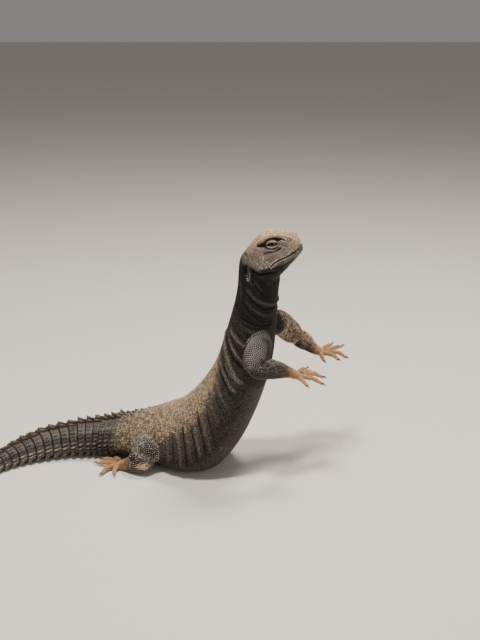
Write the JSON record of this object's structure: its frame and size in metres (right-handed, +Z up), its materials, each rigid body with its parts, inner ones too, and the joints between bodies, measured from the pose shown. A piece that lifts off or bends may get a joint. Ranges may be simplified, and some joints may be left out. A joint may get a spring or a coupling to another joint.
{
  "type": "spiny-tailed lizard model",
  "caption": "Life-size still model of a heavy-bodied desert lizard, reared up on its forelegs with its spiny whorled tail curved along the floor.",
  "frame": {"origin": "on the floor level, at the middle of the flat below the hips", "axes": "+X the way the animal faces, +Y its left side, +Z up"},
  "size_m": [0.4302, 0.1932, 0.274],
  "materials": {
    "skin": "matt granular scales",
    "throat": "matt granular scales",
    "tail": "smooth scales",
    "feet": "matt scales",
    "claw": "worn horn",
    "eye": "clear gloss"
  },
  "bodies": {
    "root": {"head": "skin", "chest": "skin", "belly": "skin", "pelvis": "skin", "left_upper_arm": "skin", "left_forearm": "skin", "left_thigh": "skin", "left_shank": "skin", "right_upper_arm": "skin", "right_forearm": "skin", "right_thigh": "skin", "right_shank": "skin", "neck": "throat", "tail_1": "tail", "tail_2": "tail", "tail_3": "tail", "tail_4": "tail", "left_hand": "feet", "left_hand_claw_1": "claw", "left_hand_claw_2": "claw", "left_hand_claw_3": "claw", "left_hand_claw_4": "claw", "left_hand_claw_5": "claw", "left_foot": "feet", "left_foot_claw_1": "claw", "left_foot_claw_2": "claw", "left_foot_claw_3": "claw", "left_foot_claw_4": "claw", "left_foot_claw_5": "claw", "right_hand": "feet", "right_hand_claw_1": "claw", "right_hand_claw_2": "claw", "right_hand_claw_3": "claw", "right_hand_claw_4": "claw", "right_hand_claw_5": "claw", "right_foot": "feet", "right_foot_claw_1": "claw", "right_foot_claw_2": "claw", "right_foot_claw_3": "claw", "right_foot_claw_4": "claw", "right_foot_claw_5": "claw", "eye_left": "eye", "eye_right": "eye"}
  },
  "joints": []
}
